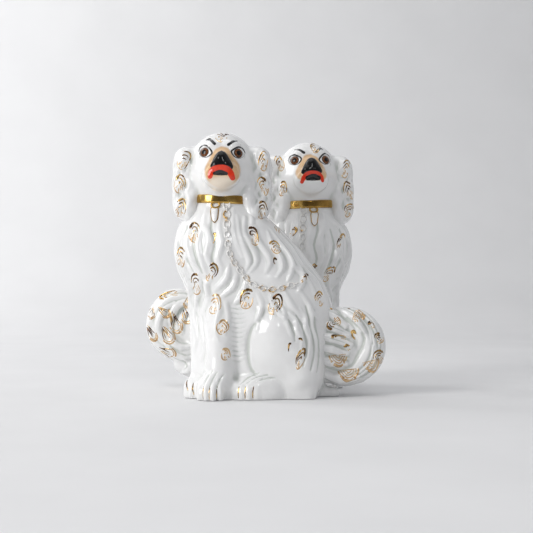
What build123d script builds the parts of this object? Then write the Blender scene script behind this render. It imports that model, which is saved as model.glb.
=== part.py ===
"""A pair of seated spaniel ornaments in press-moulded, glazed earthenware, one standing behind the other.

Each dog is the set of clay pressings that a potter lutes together with slip: two body halves on a base plate,
two head halves, two ears, two forelegs and a tail. A collar, a locket and a chain are applied in relief, and
glass eyes are bedded in plaster. The second dog is the mirror image of the first.

Millimetres. +X is to the viewer's right, +Y is away from the viewer and +Z is up. Each dog is drawn about its
own seam plane, y = 0, with the pair's middle at x = 0, and the pair is centred on the origin at the end. The
dog that faces left has facing = 1, and sizes along X are those of that dog; its mirror image has facing = -1.
Rounded forms are lofts through rings with flat sides, so that pieces meet face to face.
"""

import os
from math import atan2, cos, hypot, pi, radians, sin, sqrt

from build123d import *

# The pair
pair_spacing = 122.0  # from one dog's seam plane to the other's
overrun = 4.0  # how far a piece in relief reaches into what carries it, before it is trimmed
large_sides = 28  # flat sides of the rings of the body and the head
small_sides = 16  # and of the limbs, ears and tail
# (way along, radius) of the rings of a dome, as shares of its reach and of its foot's radius
dome_shares = [(0.0, 1.0), (0.34, 0.94), (0.64, 0.77), (0.86, 0.51), (1.0, 0.17)]

# Body
body_height = 226.0  # ground to the neck joint
chest_reach = 110.0  # pair's middle to the front of the chest
rump_reach = 82.0  # pair's middle to the rump
body_depth = 106.0
clay_wall = 6.0  # of the body
base_thickness = 6.0
vent_radius = 5.0
# (height, chest, rump, depth) of each level of the body, as shares of the four sizes above
body_shares = [
    (0.00, 0.60, 0.82, 0.84),
    (0.10, 0.62, 0.89, 0.93),
    (0.24, 0.64, 0.95, 0.98),
    (0.38, 0.69, 1.00, 1.00),
    (0.50, 0.80, 0.96, 1.00),
    (0.60, 0.90, 0.83, 0.98),
    (0.69, 0.965, 0.65, 0.95),
    (0.78, 1.00, 0.46, 0.91),
    (0.87, 0.98, 0.24, 0.85),
    (0.94, 0.91, 0.05, 0.77),
]
cavity_levels = (0, 2, 4, 6, 8)  # levels of the body that shape its hollow

# Haunches and hind feet
haunch_radius = 43.0
haunch_height = 58.0
haunch_offset = 22.0
near_haunch_swell = 60.0  # seam plane to the outside of the near thigh
far_haunch_swell = 54.0
haunch_root_share = 0.45
hind_foot_length = 62.0
hind_foot_radius = 15.0
hind_foot_heel = 26.0  # pair's middle to the heel
hind_foot_side = 44.0  # seam plane to the foot's line
hind_foot_turn = 180.0  # degrees from +X, seen from above

# Head
neck_offset = 53.0  # pair's middle to the neck's axis
neck_radius = 34.0
neck_length = 17.0  # straight stretch that carries the collar
head_height = 90.0  # neck joint to crown
cheek_radius = 41.0
head_wall = 12.0  # thick enough to hold the eye sockets
# (height above the straight neck, radius) of each level, as shares of the skull's height and cheek radius
skull_shares = [
    (0.14, 0.915),
    (0.28, 0.98),
    (0.42, 1.0),
    (0.56, 0.975),
    (0.70, 0.89),
    (0.83, 0.735),
    (0.93, 0.52),
    (1.0, 0.22),
]
muzzle_radius = 19.5
muzzle_height = 39.5  # above the neck joint
nose_reach = 63.0  # seam plane to the tip of the nose
muzzle_root_share = 0.35

# Eyes
eye_radius = 6.0
eye_sides = 12
eye_height = 55.0  # above the neck joint, where the eyes' lines meet the neck's axis
eye_seat_reach = 31.5  # neck's axis to the bottom of the socket
eye_plaster = 3.0
eye_rim = 2.6
eye_dome = 3.2
eye_turn = 31.0  # degrees outwards
eye_tilt = 10.0  # degrees upwards

# Ears
ear_length = 86.0
ear_top = 73.0  # above the neck joint
ear_spread = 47.0  # neck's axis to the middle of the ear
ear_half_width = 12.5
ear_half_depth = 16.0
ear_forward = 6.0
# (way down, outward place, half width, half depth) of each curl, as shares of the ear's sizes
ear_shares = [
    (0.00, 0.74, 0.42, 0.42),
    (0.04, 0.84, 0.74, 0.68),
    (0.12, 0.94, 0.96, 0.90),
    (0.24, 1.00, 1.06, 1.00),
    (0.36, 0.99, 0.90, 0.92),
    (0.46, 1.03, 1.02, 0.98),
    (0.57, 1.04, 1.06, 1.00),
    (0.67, 1.01, 0.88, 0.90),
    (0.78, 1.03, 1.00, 0.93),
    (0.89, 1.02, 0.94, 0.84),
    (0.96, 0.99, 0.74, 0.64),
    (1.00, 0.96, 0.46, 0.42),
]

# Forelegs: each has a place, a size and the way its paw points
near_leg_place = (-47.0, -37.0)
far_leg_place = (-77.0, -12.0)
near_leg_girth = 21.0
far_leg_girth = 16.0
leg_height = 128.0
# (way up, way inwards, girth) of each level of a leg, as shares of its height, its girth and its girth
leg_shares = [
    (0.0, 0.0, 0.84),
    (0.16, 0.0, 0.82),
    (0.42, 0.0, 0.86),
    (0.70, 0.04, 0.98),
    (0.88, 0.28, 0.98),
    (1.0, 0.74, 0.84),
]
leg_depth_share = 0.9
leg_lean_share = 0.4
paw_length = 40.0
paw_radius = 17.0
near_paw_turn = -128.0  # degrees from +X, seen from above
far_paw_turn = -138.0
# (way along, radius) of each ring of a paw from heel to toes, as shares of its length and radius
paw_shares = [
    (0.0, 0.3),
    (0.06, 0.65),
    (0.2, 0.95),
    (0.4, 1.0),
    (0.68, 1.0),
    (0.84, 0.86),
    (0.95, 0.58),
    (1.0, 0.3),
]
paw_sides = 14
toe_groove = 1.6
toe_depth_share = 0.90
toe_turns = (-26.0, 0.0, 26.0)

# Tail
tail_place = (94.0, 59.5)  # middle of the curl, across and up
tail_curl_radius = 29.0
tail_thickness = 20.0  # half the thickness in the plane of the curl
tail_half_depth = 23.0
tail_tuft_radius = 19.0  # the tuft that fills the curl
tail_tuft_half_depth = 17.0
tail_start = -132.0  # degrees, at the root beside the rump
# (turn from the start in degrees, share of the curl's radius, share of the thickness)
tail_shares = [
    (0.0, 1.15, 0.78),
    (25.0, 1.06, 0.89),
    (50.0, 1.02, 0.96),
    (75.0, 1.0, 1.0),
    (100.0, 1.0, 1.03),
    (125.0, 1.0, 1.04),
    (150.0, 1.0, 1.03),
    (175.0, 1.0, 1.0),
    (200.0, 1.0, 0.96),
    (225.0, 1.0, 0.89),
    (250.0, 0.97, 0.77),
    (275.0, 0.9, 0.55),
]
rear_tail_lift = 20.0  # the second dog's tail is luted on higher and further out
rear_tail_reach = 13.0

# Collar, locket and chain
collar_height = 10.0
collar_thickness = 2.2
collar_lift = 3.0  # above the neck joint
locket_offset = 60.0
locket_width = 10.0
locket_height = 15.0
locket_relief = 3.2
locket_loop_radius = 3.4
locket_loop_wire = 1.2
locket_taper_share = 0.62
link_radius = 3.1
link_wire = 1.1
link_relief = 1.7
link_sides = 6
joiner_length = 3.4  # reaches into the links on either side
# The chain's way over the chest, across and up, as shares of the chest's reach and the body's height
chain_shares = [
    (-0.416, 0.965),
    (-0.416, 0.89),
    (-0.406, 0.81),
    (-0.375, 0.733),
    (-0.28, 0.667),
    (-0.174, 0.605),
    (-0.047, 0.575),
    (0.12, 0.57),
    (0.31, 0.595),
]

half_depth = body_depth / 2


def corners(half_width, half_depth, sides):
    """Corners of a ring with flat sides, inside an ellipse."""
    turns = [2 * pi * index / sides for index in range(sides)]
    return [(half_width * cos(turn), half_depth * sin(turn)) for turn in turns]


def loft_rings(rings, sides):
    """A form through rings, each given by its plane and two half sizes."""
    with BuildPart() as form:
        for plane, half_width, half_depth in rings:
            with BuildSketch(plane):
                Polygon(*corners(half_width, half_depth, sides), align=None)
        loft(ruled=True)
    return form.part


def make_dome(middle, radius, reach):
    """A dome with a round foot at middle that reaches along Y: away from the viewer if reach is positive."""
    across, deep, level = middle
    rings = []
    for way, share in dome_shares:
        plane = Plane(origin=(across, deep + way * reach, level), x_dir=(1, 0, 0), z_dir=(0, reach, 0))
        rings.append((plane, share * radius, share * radius))
    return loft_rings(rings, small_sides)


def body_level(shares):
    """Height, middle and half sizes of one level of the body."""
    height, chest, rump, depth = shares
    back, front = rump * rump_reach, -chest * chest_reach
    return height * body_height, (back + front) / 2, (back - front) / 2, depth * half_depth


def loft_body(facing, levels, inset):
    """The body's mass through some of its levels, drawn in by inset and ending at a round neck."""
    rings = []
    for shares in levels:
        height, middle, half_length, depth = body_level(shares)
        rings.append((Plane((facing * middle, 0, height)), half_length - inset, depth - inset))
    rings.append((Plane((-facing * neck_offset, 0, body_height)), neck_radius - inset, neck_radius - inset))
    return loft_rings(rings, large_sides)


def chest_front(across, up):
    """The y of the body's front face at a place across and up."""
    rows = [body_level(shares) for shares in body_shares]
    rows.append((body_height, -neck_offset, neck_radius, neck_radius))
    low, high = next(pair for pair in zip(rows, rows[1:]) if up <= pair[1][0])
    share = (up - low[0]) / (high[0] - low[0])
    middle, half_length, depth = (a + (b - a) * share for a, b in zip(low[1:], high[1:]))
    return -depth * sqrt(max(1 - ((across - middle) / half_length) ** 2, 0))


def make_thigh(facing, swell, side):
    """A rounded thigh that stands out of the body on one side: -1 is towards the viewer."""
    root = swell * haunch_root_share
    middle = (facing * haunch_offset, side * root, haunch_height)
    return make_dome(middle, haunch_radius, side * (swell - root))


def make_paw(length, radius):
    """A paw that lies along +X with its heel at the origin and grooves between its toes."""
    rings = [(Plane.YZ.offset(way * length), share * radius, share * radius) for way, share in paw_shares]
    with BuildPart() as mound:
        add(loft_rings(rings, paw_sides))
        split(bisect_by=Plane.XY, keep=Keep.TOP)
    with BuildPart() as grooves:
        for turn in toe_turns:
            with Locations(Location((length - radius, 0, 0), (0, 0, turn))):
                Box(length, toe_groove, length, align=(Align.MIN, Align.CENTER, Align.MIN))
        core = scale(mound.part, toe_depth_share, about=(length - radius, 0, 0), mode=Mode.PRIVATE)
        add(core, mode=Mode.SUBTRACT)
    with BuildPart() as paw:
        add(mound.part)
        add(grooves.part, mode=Mode.SUBTRACT)
    return paw.part


def place_paw(facing, place, turn, length, radius):
    """A paw set down at a place, pointing along turn, in degrees from +X seen from above."""
    across, deep = place
    turned = turn if facing > 0 else 180 - turn
    return Location((facing * across, deep, 0), (0, 0, turned)) * make_paw(length, radius)


def make_body(facing):
    """The whole outside of the body: its mass, the thighs and the hind feet, with nothing hollowed out."""
    with BuildPart() as body:
        add(loft_body(facing, body_shares, 0))
        for swell, side in ((near_haunch_swell, -1), (far_haunch_swell, 1)):
            add(make_thigh(facing, swell, side))
            heel = (hind_foot_heel, side * hind_foot_side)
            add(place_paw(facing, heel, hind_foot_turn, hind_foot_length, hind_foot_radius))
        split(bisect_by=Plane.XY, keep=Keep.TOP)
    return body.part


def make_cavity(facing):
    """The hollow that runs from the ground up through the neck."""
    return loft_body(facing, [body_shares[level] for level in cavity_levels], clay_wall)


def make_base_plate(cavity):
    """The clay plate that closes the bottom of the hollow, with its firing vent."""
    with BuildPart() as plate:
        add(cavity)
        split(bisect_by=Plane.XY.offset(base_thickness), keep=Keep.BOTTOM)
        with Locations(Plane.XY.offset(base_thickness)):
            Hole(vent_radius)
    return plate.part


def cut_half(outside, hollow, keep):
    """One pressed half of the body or of the head: hollowed, and cut at the seam plane."""
    with BuildPart() as half:
        add(outside)
        add(hollow, mode=Mode.SUBTRACT)
        split(bisect_by=Plane.XZ, keep=keep)
    return half.part


def loft_head(facing, inset):
    """The skull and neck, drawn in by inset."""
    levels = [(0, neck_radius), (neck_length, neck_radius)]
    for way, share in skull_shares:
        levels.append((neck_length + way * (head_height - inset - neck_length), share * cheek_radius))
    rings = []
    for height, radius in levels:
        drawn_in = radius - inset * radius / cheek_radius
        rings.append((Plane((-facing * neck_offset, 0, body_height + height)), drawn_in, drawn_in))
    return loft_rings(rings, large_sides)


def make_muzzle(facing):
    """The rounded muzzle that points at the viewer."""
    root = nose_reach * muzzle_root_share
    middle = (-facing * neck_offset, -root, body_height + muzzle_height)
    return make_dome(middle, muzzle_radius, root - nose_reach)


def eye_plane(facing, side):
    """The bottom of an eye's socket, facing out along the eye: side is -1 or 1 across the face."""
    turn, tilt = radians(side * eye_turn), radians(eye_tilt)
    out = Vector(sin(turn) * cos(tilt), -cos(turn) * cos(tilt), sin(tilt))
    middle = Vector(-facing * neck_offset, 0, body_height + eye_height)
    return Plane(origin=middle + out * eye_seat_reach, x_dir=(cos(turn), sin(turn), 0), z_dir=out)


def make_eye(facing, side):
    """A glass eye: a round rim with a domed front, standing on its plaster."""
    seat = eye_plane(facing, side)
    rings = [(seat.offset(eye_plaster), eye_radius, eye_radius)]
    for way, share in dome_shares:
        level = seat.offset(eye_plaster + eye_rim + way * eye_dome)
        rings.append((level, share * eye_radius, share * eye_radius))
    return loft_rings(rings, eye_sides)


def make_eye_plug(facing, side, length):
    """The space along an eye's line from the bottom of its socket."""
    seat = eye_plane(facing, side)
    ends = [seat, seat.offset(length)]
    return loft_rings([(end, eye_radius, eye_radius) for end in ends], eye_sides)


def make_eye_plaster(facing):
    """The plaster that beds both eyes in their sockets."""
    with BuildPart() as plaster:
        for side in (-1, 1):
            add(make_eye_plug(facing, side, eye_plaster))
    return plaster.part


def make_head(facing):
    """The whole outside of the head with its eye sockets, with nothing hollowed out."""
    with BuildPart() as head:
        add(loft_head(facing, 0))
        add(make_muzzle(facing))
        for side in (-1, 1):
            add(make_eye_plug(facing, side, cheek_radius), mode=Mode.SUBTRACT)
    return head.part


def make_collar(facing):
    """The gilt band round the neck."""
    outside = neck_radius + collar_thickness
    with BuildPart() as collar:
        with BuildSketch(Plane((-facing * neck_offset, 0, body_height + collar_lift))):
            Polygon(*corners(outside, outside, large_sides), align=None)
            Polygon(*corners(neck_radius, neck_radius, large_sides), align=None, mode=Mode.SUBTRACT)
        extrude(amount=collar_height)
    return collar.part


def trim(form, neighbours):
    """A form cut back to the pieces that it sits against."""
    with BuildPart() as piece:
        add(form)
        for neighbour in neighbours:
            add(neighbour, mode=Mode.SUBTRACT)
    return piece.part


def make_ear(facing, side):
    """A long curled ear on one side of the head."""
    rings = []
    for way, out, width, depth in ear_shares:
        across = -facing * neck_offset + side * out * ear_spread
        plane = Plane((across, -ear_forward, body_height + ear_top - way * ear_length))
        rings.append((plane, width * ear_half_width, depth * ear_half_depth))
    return loft_rings(rings, small_sides)


def make_foreleg(facing, place, girth, paw_turn):
    """A foreleg with its paw."""
    across, deep = place
    rings = []
    for way, inwards, share in leg_shares:
        shift = inwards * girth
        plane = Plane((facing * (across + shift * leg_lean_share), deep + shift, way * leg_height))
        rings.append((plane, share * girth, share * girth * leg_depth_share))
    with BuildPart() as leg:
        add(loft_rings(rings, small_sides))
        add(place_paw(facing, place, paw_turn, paw_length, paw_radius))
    return leg.part


def make_tail(facing, reach, lift):
    """The bushy tail, curled up from the rump and over on itself."""
    across, up = tail_place[0] + reach, tail_place[1] + lift
    rings = []
    for turn, radius_share, share in tail_shares:
        angle = radians(tail_start + turn)
        radius = radius_share * tail_curl_radius
        middle = (facing * (across + radius * cos(angle)), 0, up + radius * sin(angle))
        plane = Plane(origin=middle, x_dir=(0, 1, 0), z_dir=(-facing * sin(angle), 0, cos(angle)))
        rings.append((plane, share * tail_half_depth, share * tail_thickness))
    with BuildPart() as tail:
        add(loft_rings(rings, small_sides))
        for side in (-1, 1):
            add(make_dome((facing * across, 0, up), tail_tuft_radius, side * tail_tuft_half_depth))
    return tail.part


def make_locket(facing):
    """The locket that hangs from the collar on its loop, in relief on the chest."""
    loop = body_height - locket_loop_radius
    high = loop - locket_loop_radius + locket_loop_wire
    low = high - locket_height
    middle, half, foot = -facing * locket_offset, locket_width / 2, locket_taper_share * locket_width / 2
    front = min(chest_front(-locket_offset, level) for level in (low, high)) - locket_relief
    with BuildPart() as locket:
        with BuildSketch(Plane.XZ.offset(-front)):
            with BuildLine():
                Polyline((middle - foot, low), (middle - half, high), (middle + half, high))
                Polyline((middle + half, high), (middle + foot, low), (middle - foot, low))
            make_face()
            with Locations((middle, loop)):
                RegularPolygon(locket_loop_radius, small_sides)
                RegularPolygon(locket_loop_radius - locket_loop_wire, small_sides, mode=Mode.SUBTRACT)
        extrude(amount=-half_depth)
    return locket.part


def chain_places():
    """Places along the chain, evenly spaced, each with the way the chain runs there."""
    route = [(across * chest_reach, up * body_height) for across, up in chain_shares]
    step = link_radius + joiner_length / 2 - link_wire
    places, ahead = [], 0.0
    for (x0, z0), (x1, z1) in zip(route, route[1:]):
        run = hypot(x1 - x0, z1 - z0)
        while ahead < run:
            share = ahead / run
            places.append((x0 + (x1 - x0) * share, z0 + (z1 - z0) * share, atan2(z1 - z0, x1 - x0)))
            ahead += step
        ahead -= run
    return places


def make_chain(facing):
    """The chain in relief over the chest: open links, with the links between them seen edge on."""
    with BuildPart() as chain:
        for index, (across, up, way) in enumerate(chain_places()):
            here = chest_front(across, up)
            lean_x = (chest_front(across + joiner_length, up) - here) / joiner_length
            lean_z = (here - chest_front(across, up - joiner_length)) / joiner_length
            along = Vector(facing * cos(way), lean_x * cos(way) + lean_z * sin(way), sin(way))
            out = Vector(facing * lean_x, -1, lean_z)
            face = Plane(origin=(facing * across, here, up), x_dir=along, z_dir=out)
            with BuildSketch(face.offset(-overrun)):
                if index % 2:
                    Rectangle(joiner_length, link_wire)
                else:
                    RegularPolygon(link_radius, link_sides)
                    RegularPolygon(link_radius - link_wire, link_sides, mode=Mode.SUBTRACT)
        extrude(amount=overrun + link_relief)
    return chain.part


def make_dog(facing, tail_reach, tail_lift):
    """Every piece of one dog, by name. A piece that is put on later is trimmed to those already there."""
    body, cavity, collar = make_body(facing), make_cavity(facing), make_collar(facing)
    head, skull = make_head(facing), loft_head(facing, head_wall)
    near_leg = trim(make_foreleg(facing, near_leg_place, near_leg_girth, near_paw_turn), [body])
    far_leg = trim(make_foreleg(facing, far_leg_place, far_leg_girth, far_paw_turn), [body, near_leg])
    locket = trim(make_locket(facing), [body, collar])
    return {
        "body_front_half": cut_half(body, cavity, Keep.TOP),
        "body_back_half": cut_half(body, cavity, Keep.BOTTOM),
        "base_plate": make_base_plate(cavity),
        "face_half": cut_half(head, skull, Keep.TOP),
        "head_back_half": cut_half(head, skull, Keep.BOTTOM),
        "left_ear": trim(make_ear(facing, -1), [head, body, collar]),
        "right_ear": trim(make_ear(facing, 1), [head, body, collar]),
        "near_foreleg": near_leg,
        "far_foreleg": far_leg,
        "tail": trim(make_tail(facing, tail_reach, tail_lift), [body]),
        "collar": collar,
        "locket": locket,
        "chain": trim(make_chain(facing), [body, collar, locket, near_leg]),
        "left_eye": make_eye(facing, -1),
        "right_eye": make_eye(facing, 1),
        "eye_plaster": make_eye_plaster(facing),
    }


pair = {f"front_dog_{name}": piece for name, piece in make_dog(1, 0, 0).items()}
for name, piece in make_dog(-1, rear_tail_reach, rear_tail_lift).items():
    pair[f"rear_dog_{name}"] = Pos(0, pair_spacing, 0) * piece

box = Compound(list(pair.values())).bounding_box()
centred = Pos(-box.center().X, -box.center().Y, 0)
os.makedirs("parts", exist_ok=True)
for name, piece in pair.items():
    placed = centred * piece
    placed.label = name
    export_step(placed, f"parts/{name}.step")
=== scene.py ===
"""Looks for a mirrored pair of seated, glazed earthenware spaniels. Lengths are millimetres until world()."""

import math

import bpy
import numpy as np
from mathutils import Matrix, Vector

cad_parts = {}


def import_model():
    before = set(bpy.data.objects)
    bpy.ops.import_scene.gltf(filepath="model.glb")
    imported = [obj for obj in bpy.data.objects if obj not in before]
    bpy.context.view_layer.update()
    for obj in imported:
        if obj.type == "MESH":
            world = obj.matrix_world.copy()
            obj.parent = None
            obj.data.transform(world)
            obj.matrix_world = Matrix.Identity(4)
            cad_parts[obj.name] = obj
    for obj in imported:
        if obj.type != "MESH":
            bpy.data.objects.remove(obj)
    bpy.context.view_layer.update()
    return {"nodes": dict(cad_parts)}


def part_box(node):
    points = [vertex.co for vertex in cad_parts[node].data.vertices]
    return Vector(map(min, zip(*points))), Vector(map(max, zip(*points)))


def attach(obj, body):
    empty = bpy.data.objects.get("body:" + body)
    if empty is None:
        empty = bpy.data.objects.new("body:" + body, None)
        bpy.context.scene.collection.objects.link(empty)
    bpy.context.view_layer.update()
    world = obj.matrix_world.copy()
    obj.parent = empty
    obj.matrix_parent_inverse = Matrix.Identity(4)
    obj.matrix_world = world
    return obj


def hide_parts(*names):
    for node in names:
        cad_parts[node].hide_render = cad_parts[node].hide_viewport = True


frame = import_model()

PHOTO_SIZE = 533  # pixels
PIXEL_MIDDLE = PHOTO_SIZE / 2
FOCAL = 1253.0  # pixels
CAMERA = np.array([0.0, -1504.0, 154.8])
NECK_X = -53.0
MUZZLE_X = -52.2
EYE_LEVEL, EYE_REACH = 281.0, 37.8  # height of the eyes' pivot, and how far from it they sit
REAR_GAP = 122.0  # between the two dogs' seam planes
STILL = np.zeros(3)
TAIL_SHIFTS = {"front_dog": STILL, "rear_dog": np.array([13.0, 0.0, 20.0])}
NECK_PIVOT = np.array([NECK_X, 0.0, 234.0])
REAR_HEAD_TURN = math.radians(-5.2)  # the rear dog looks a little to the viewer's right
REAR_HEAD_TILT = math.radians(-3.5)  # and up
AIR = 30.0  # a clay's field far outside it


def seam_place(dog, facing):
    """Where a dog's seam plane and middle lie in the frame."""
    low, high = np.array(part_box(f"{dog}_face_half")) * 1000
    return np.array([(low[0] + high[0]) / 2 - facing * NECK_X, high[1], 0.0])


DOGS = {"front_dog": (1, seam_place("front_dog", 1)), "rear_dog": (-1, seam_place("rear_dog", -1))}


def world(points, dog):
    """Points of the dog that faces left, in metres in the frame for either dog."""
    facing, place = DOGS[dog]
    return (np.asarray(points, float) * (facing, 1, 1) + place) / 1000


def unit(v):
    return v / (np.linalg.norm(v, axis=-1, keepdims=True) + 1e-9)


def circle(count):
    """Angles once round."""
    return np.linspace(0, 2 * math.pi, count, endpoint=False)


def turn_by(angle, u, v):
    """A pair of coordinates, turned by an angle."""
    return u * math.cos(angle) - v * math.sin(angle), u * math.sin(angle) + v * math.cos(angle)


def held(points, dog):
    """Points of the head as a dog holds it: only the rear dog turns it."""
    if dog == "front_dog":
        return points
    x, y, z = (points - NECK_PIVOT).T
    y, z = turn_by(REAR_HEAD_TILT, y, z)
    x, y = turn_by(REAR_HEAD_TURN, x, y)
    return np.stack([x, y, z], 1) + NECK_PIVOT


# Forms of clay: each is its low corner, its high corner and its distance from places


def soft_min(a, b, k):
    """The smaller of two fields, blended where they are within k of each other."""
    if k <= 0:
        return np.minimum(a, b)
    h = np.maximum(k - np.abs(a - b), 0) / k
    return np.minimum(a, b) - h * h * k * 0.25


def oval_gap(away, radii):
    """About how far places are from the skin of an oval."""
    k0 = np.sqrt(sum((a / r) ** 2 for a, r in zip(away, radii))) + 1e-6
    k1 = np.sqrt(sum((a / r**2) ** 2 for a, r in zip(away, radii))) + 1e-9
    return k0 * (k0 - 1) / k1


def egg(middle, radii, turn=0.0, tilt=0.0):
    """An ellipsoid, tilted about Y and then turned about Z, in degrees."""
    middle, radii = np.array(middle, float), np.array(radii, float)
    (c, s), (d, e) = ((math.cos(a), math.sin(a)) for a in (math.radians(turn), math.radians(tilt)))
    axes = np.array([[c, -s, 0], [s, c, 0], [0, 0, 1]]) @ np.array([[d, 0, e], [0, 1, 0], [-e, 0, d]])
    reach = np.sqrt(((axes * radii) ** 2).sum(1))

    def distance(x, y, z):
        away = x - middle[0], y - middle[1], z - middle[2]
        return oval_gap([sum(a * b for a, b in zip(away, axis)) for axis in axes.T], radii)

    return middle - reach, middle + reach, distance


def slab(middle, half, edge):
    """A block with rounded edges."""
    middle, half = np.array(middle, float), np.array(half, float)

    def distance(x, y, z):
        q = [np.abs(v - m) - h + edge for v, m, h in zip((x, y, z), middle, half)]
        outside = np.sqrt(sum(np.maximum(v, 0) ** 2 for v in q))
        return outside + np.minimum(np.maximum(np.maximum(q[0], q[1]), q[2]), 0) - edge

    return middle - half, middle + half, distance


def curve(points, steps=5):
    """A smooth line through a few points."""
    p = np.asarray(points, float)
    p = np.vstack([2 * p[0] - p[1], p, 2 * p[-1] - p[-2]])
    t = np.linspace(0, 1, steps, endpoint=False)[:, None]
    runs = []
    for a, b, c, d in zip(p, p[1:], p[2:], p[3:]):
        run = 2 * b + (c - a) * t + (2 * a - 5 * b + 4 * c - d) * t**2
        runs.append(0.5 * (run + (3 * b - a - 3 * c + d) * t**3))
    return np.vstack(runs + [p[-2:-1]])


def spread(values, count):
    """One value or a few, spread evenly over more places."""
    values = np.atleast_1d(values)
    return np.interp(np.linspace(0, 1, count), np.linspace(0, 1, len(values)), values)


def tube(points, radii, steps=5):
    """A bent, tapering roll through points."""
    line = curve(points, steps)
    thick = spread(radii, len(line))

    def distance(x, y, z):
        best = np.inf
        for a, b, r0, r1 in zip(line, line[1:], thick, thick[1:]):
            d = b - a
            t = ((x - a[0]) * d[0] + (y - a[1]) * d[1] + (z - a[2]) * d[2]) / (d @ d + 1e-9)
            t = np.clip(t, 0, 1)
            off = (x - a[0] - t * d[0]) ** 2 + (y - a[1] - t * d[1]) ** 2 + (z - a[2] - t * d[2]) ** 2
            best = np.minimum(best, np.sqrt(off) - (r0 + (r1 - r0) * t))
        return best

    return (line - thick[:, None]).min(0), (line + thick[:, None]).max(0), distance


class Clay:
    """A distance field on a grid, built up and carved, then skinned."""

    def __init__(self, low, high, step):
        self.low, self.step = np.array(low, float), step
        self.shape = np.ceil((np.array(high) - self.low) / step).astype(int) + 1
        self.axes = [self.low[i] + step * np.arange(self.shape[i]) for i in range(3)]
        self.field = np.full(self.shape, AIR, np.float32)

    def grid(self, cut=(slice(None),) * 3):
        """Coordinates of the whole grid or of a part of it."""
        axes = (axis[part] for axis, part in zip(self.axes, cut))
        return np.meshgrid(*axes, indexing="ij", sparse=True)

    def blend(self, form, k, room, sign):
        """Join a form to the field, which stays true as far as room from the form."""
        low, high, distance = form
        start = np.clip(np.floor((low - room - self.low) / self.step), 0, self.shape - 1).astype(int)
        stop = np.clip(np.ceil((high + room - self.low) / self.step) + 1, 1, self.shape).astype(int)
        cut = tuple(slice(a, b) for a, b in zip(start, stop))
        if min(self.field[cut].shape):
            new = distance(*self.grid(cut)).astype(np.float32)
            self.field[cut] = sign * soft_min(sign * self.field[cut], new, k)

    def add(self, form, k):
        self.blend(form, k, k + 12, 1)

    def carve(self, form, k):
        self.blend(form, k, k + 3, -1)

    def sample(self, points):
        """The field at points."""
        place = (np.asarray(points, float) - self.low) / self.step
        inside = ((place >= 0) & (place <= self.shape - 1.001)).all(-1)
        place = np.clip(place, 0, self.shape - 1.001)
        whole = place.astype(int)
        part = place - whole
        value = np.zeros(place.shape[:-1])
        for i, j, k in np.ndindex(2, 2, 2):
            weight = np.prod(np.where([i, j, k], part, 1 - part), axis=-1)
            value += weight * self.field[whole[..., 0] + i, whole[..., 1] + j, whole[..., 2] + k]
        return np.where(inside, value, AIR)

    def normal(self, points):
        """The way out of the clay at points."""
        steps = np.eye(3) * self.step
        return unit(np.stack([self.sample(points + s) - self.sample(points - s) for s in steps], -1))

    def skin(self):
        """Points and four-cornered faces of the surface."""
        f, n = self.field, self.field.shape
        inside = f < 0
        count = np.zeros([s - 1 for s in n], np.int8)
        for i, j, k in np.ndindex(2, 2, 2):
            count += inside[i : n[0] - 1 + i, j : n[1] - 1 + j, k : n[2] - 1 + k]
        mixed = (count > 0) & (count < 8)
        cells = np.argwhere(mixed)
        index = np.full(mixed.shape, -1)
        index[mixed] = np.arange(len(cells))
        total, times = np.zeros((len(cells), 3)), np.zeros(len(cells))
        for axis, way in enumerate(np.eye(3, dtype=int)):
            for edge in np.ndindex(2, 2):
                start = np.insert(edge, axis, 0)
                f0, f1 = f[tuple((cells + start).T)], f[tuple((cells + start + way).T)]
                crossed = (f0 < 0) != (f1 < 0)
                t = f0[crossed] / (f0[crossed] - f1[crossed])
                total[crossed] += start + t[:, None] * way
                times[crossed] += 1
        points = self.low + self.step * (cells + total / times[:, None])
        faces = []
        for axis in range(3):
            u, v = (axis + 1) % 3, (axis + 2) % 3
            first = [slice(1, s - 1) for s in n]
            second = list(first)
            first[axis], second[axis] = slice(0, n[axis] - 1), slice(1, n[axis])
            at = np.argwhere(inside[tuple(first)] != inside[tuple(second)])
            at[:, [u, v]] += 1
            quad = []
            for du, dv in ((1, 1), (0, 1), (0, 0), (1, 0)):
                cell = at.copy()
                cell[:, u] -= du
                cell[:, v] -= dv
                quad.append(index[tuple(cell.T)])
            quad = np.stack(quad, 1)
            back = ~inside[tuple(at.T)]
            quad[back] = quad[back][:, ::-1]
            faces.append(quad)
        for _ in range(2):
            points = points - self.normal(points) * np.clip(self.sample(points), -0.5, 0.5)[:, None]
        return points, np.vstack(faces)


def sight(places, rear, view):
    """Points along lines of sight from near to far, as the left-facing dog has them.

    Side views take (y, z) in millimetres, the others pixels of the photograph.
    """
    places = np.asarray(places, float)
    if view in ("left", "right"):
        depth = np.arange(-125.0, 60.0, 1.0) if view == "left" else np.arange(150.0, -40.0, -1.0)
        where = np.zeros((len(places), len(depth), 3))
        where[..., 0] = depth
        where[..., 1:] = places[:, None, :]
        return where
    depth = np.arange(-80.0, 70.0, 1.0)
    start = CAMERA - (0, REAR_GAP if rear else 0, 0)
    x, y = ((places - PIXEL_MIDDLE) / FOCAL).T
    way = np.stack([-x if rear else x, np.ones_like(x), -y], -1)
    if view == "front":
        return start + way[:, None, :] * (depth - start[1])[:, None]
    chest = -40.0  # seen from behind, lines keep the scale that they have here
    where = np.repeat((start + way * (chest - start[1]))[:, None, :], len(depth), axis=1)
    where[..., 1] = depth[::-1]
    return where


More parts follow.
